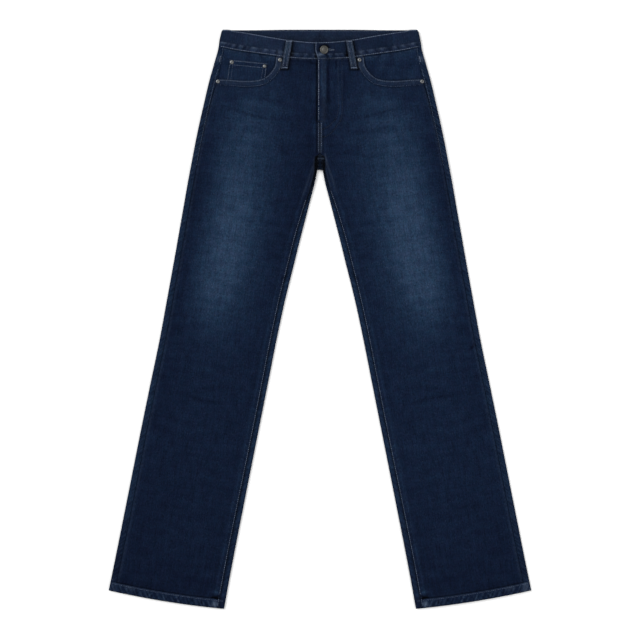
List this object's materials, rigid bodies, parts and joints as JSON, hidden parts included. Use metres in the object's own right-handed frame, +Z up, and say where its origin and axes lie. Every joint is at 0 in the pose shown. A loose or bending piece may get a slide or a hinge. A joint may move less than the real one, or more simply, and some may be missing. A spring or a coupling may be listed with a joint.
{
  "type": "cigarette jeans",
  "caption": "Straight slim denim jeans laid flat, front up, with waistband, belt loops, riveted front pockets, a coin pocket, a zip fly under a button, and turned hems.",
  "frame": {"origin": "under the middle of the garment's box, on the surface that it lies on", "axes": "+X to the wearer's left, +Y up to the waist, +Z up through the front"},
  "size_m": [0.8122, 1.1118, 0.0113],
  "materials": {
    "denim": "dark indigo twill denim, washed, faded on the thighs and along the seams",
    "denim_trim": "indigo twill denim of the belt loops, slightly paler",
    "zip_tape": "plain woven dark blue tape",
    "rivet_metal": "worn copper and brass",
    "button_metal": "antique dull brass"
  },
  "bodies": {
    "root": {"front_left": "denim", "front_right": "denim", "back_left": "denim", "back_right": "denim", "yoke_left": "denim", "yoke_right": "denim", "waistband_left": "denim", "waistband_right": "denim", "hem_left": "denim", "hem_right": "denim", "pocket_facing_left": "denim", "pocket_facing_right": "denim", "coin_pocket": "denim", "back_pocket_left": "denim", "back_pocket_right": "denim", "fly_shield": "denim", "belt_loop_front_left": "denim_trim", "belt_loop_front_right": "denim_trim", "belt_loop_back_left": "denim_trim", "belt_loop_back_centre": "denim_trim", "belt_loop_back_right": "denim_trim", "zip": "zip_tape", "rivet_pocket_left": "rivet_metal", "rivet_pocket_right": "rivet_metal", "rivet_side_left": "rivet_metal", "rivet_side_right": "rivet_metal", "rivet_coin_outer": "rivet_metal", "rivet_coin_inner": "rivet_metal", "button": "button_metal"}
  },
  "joints": []
}
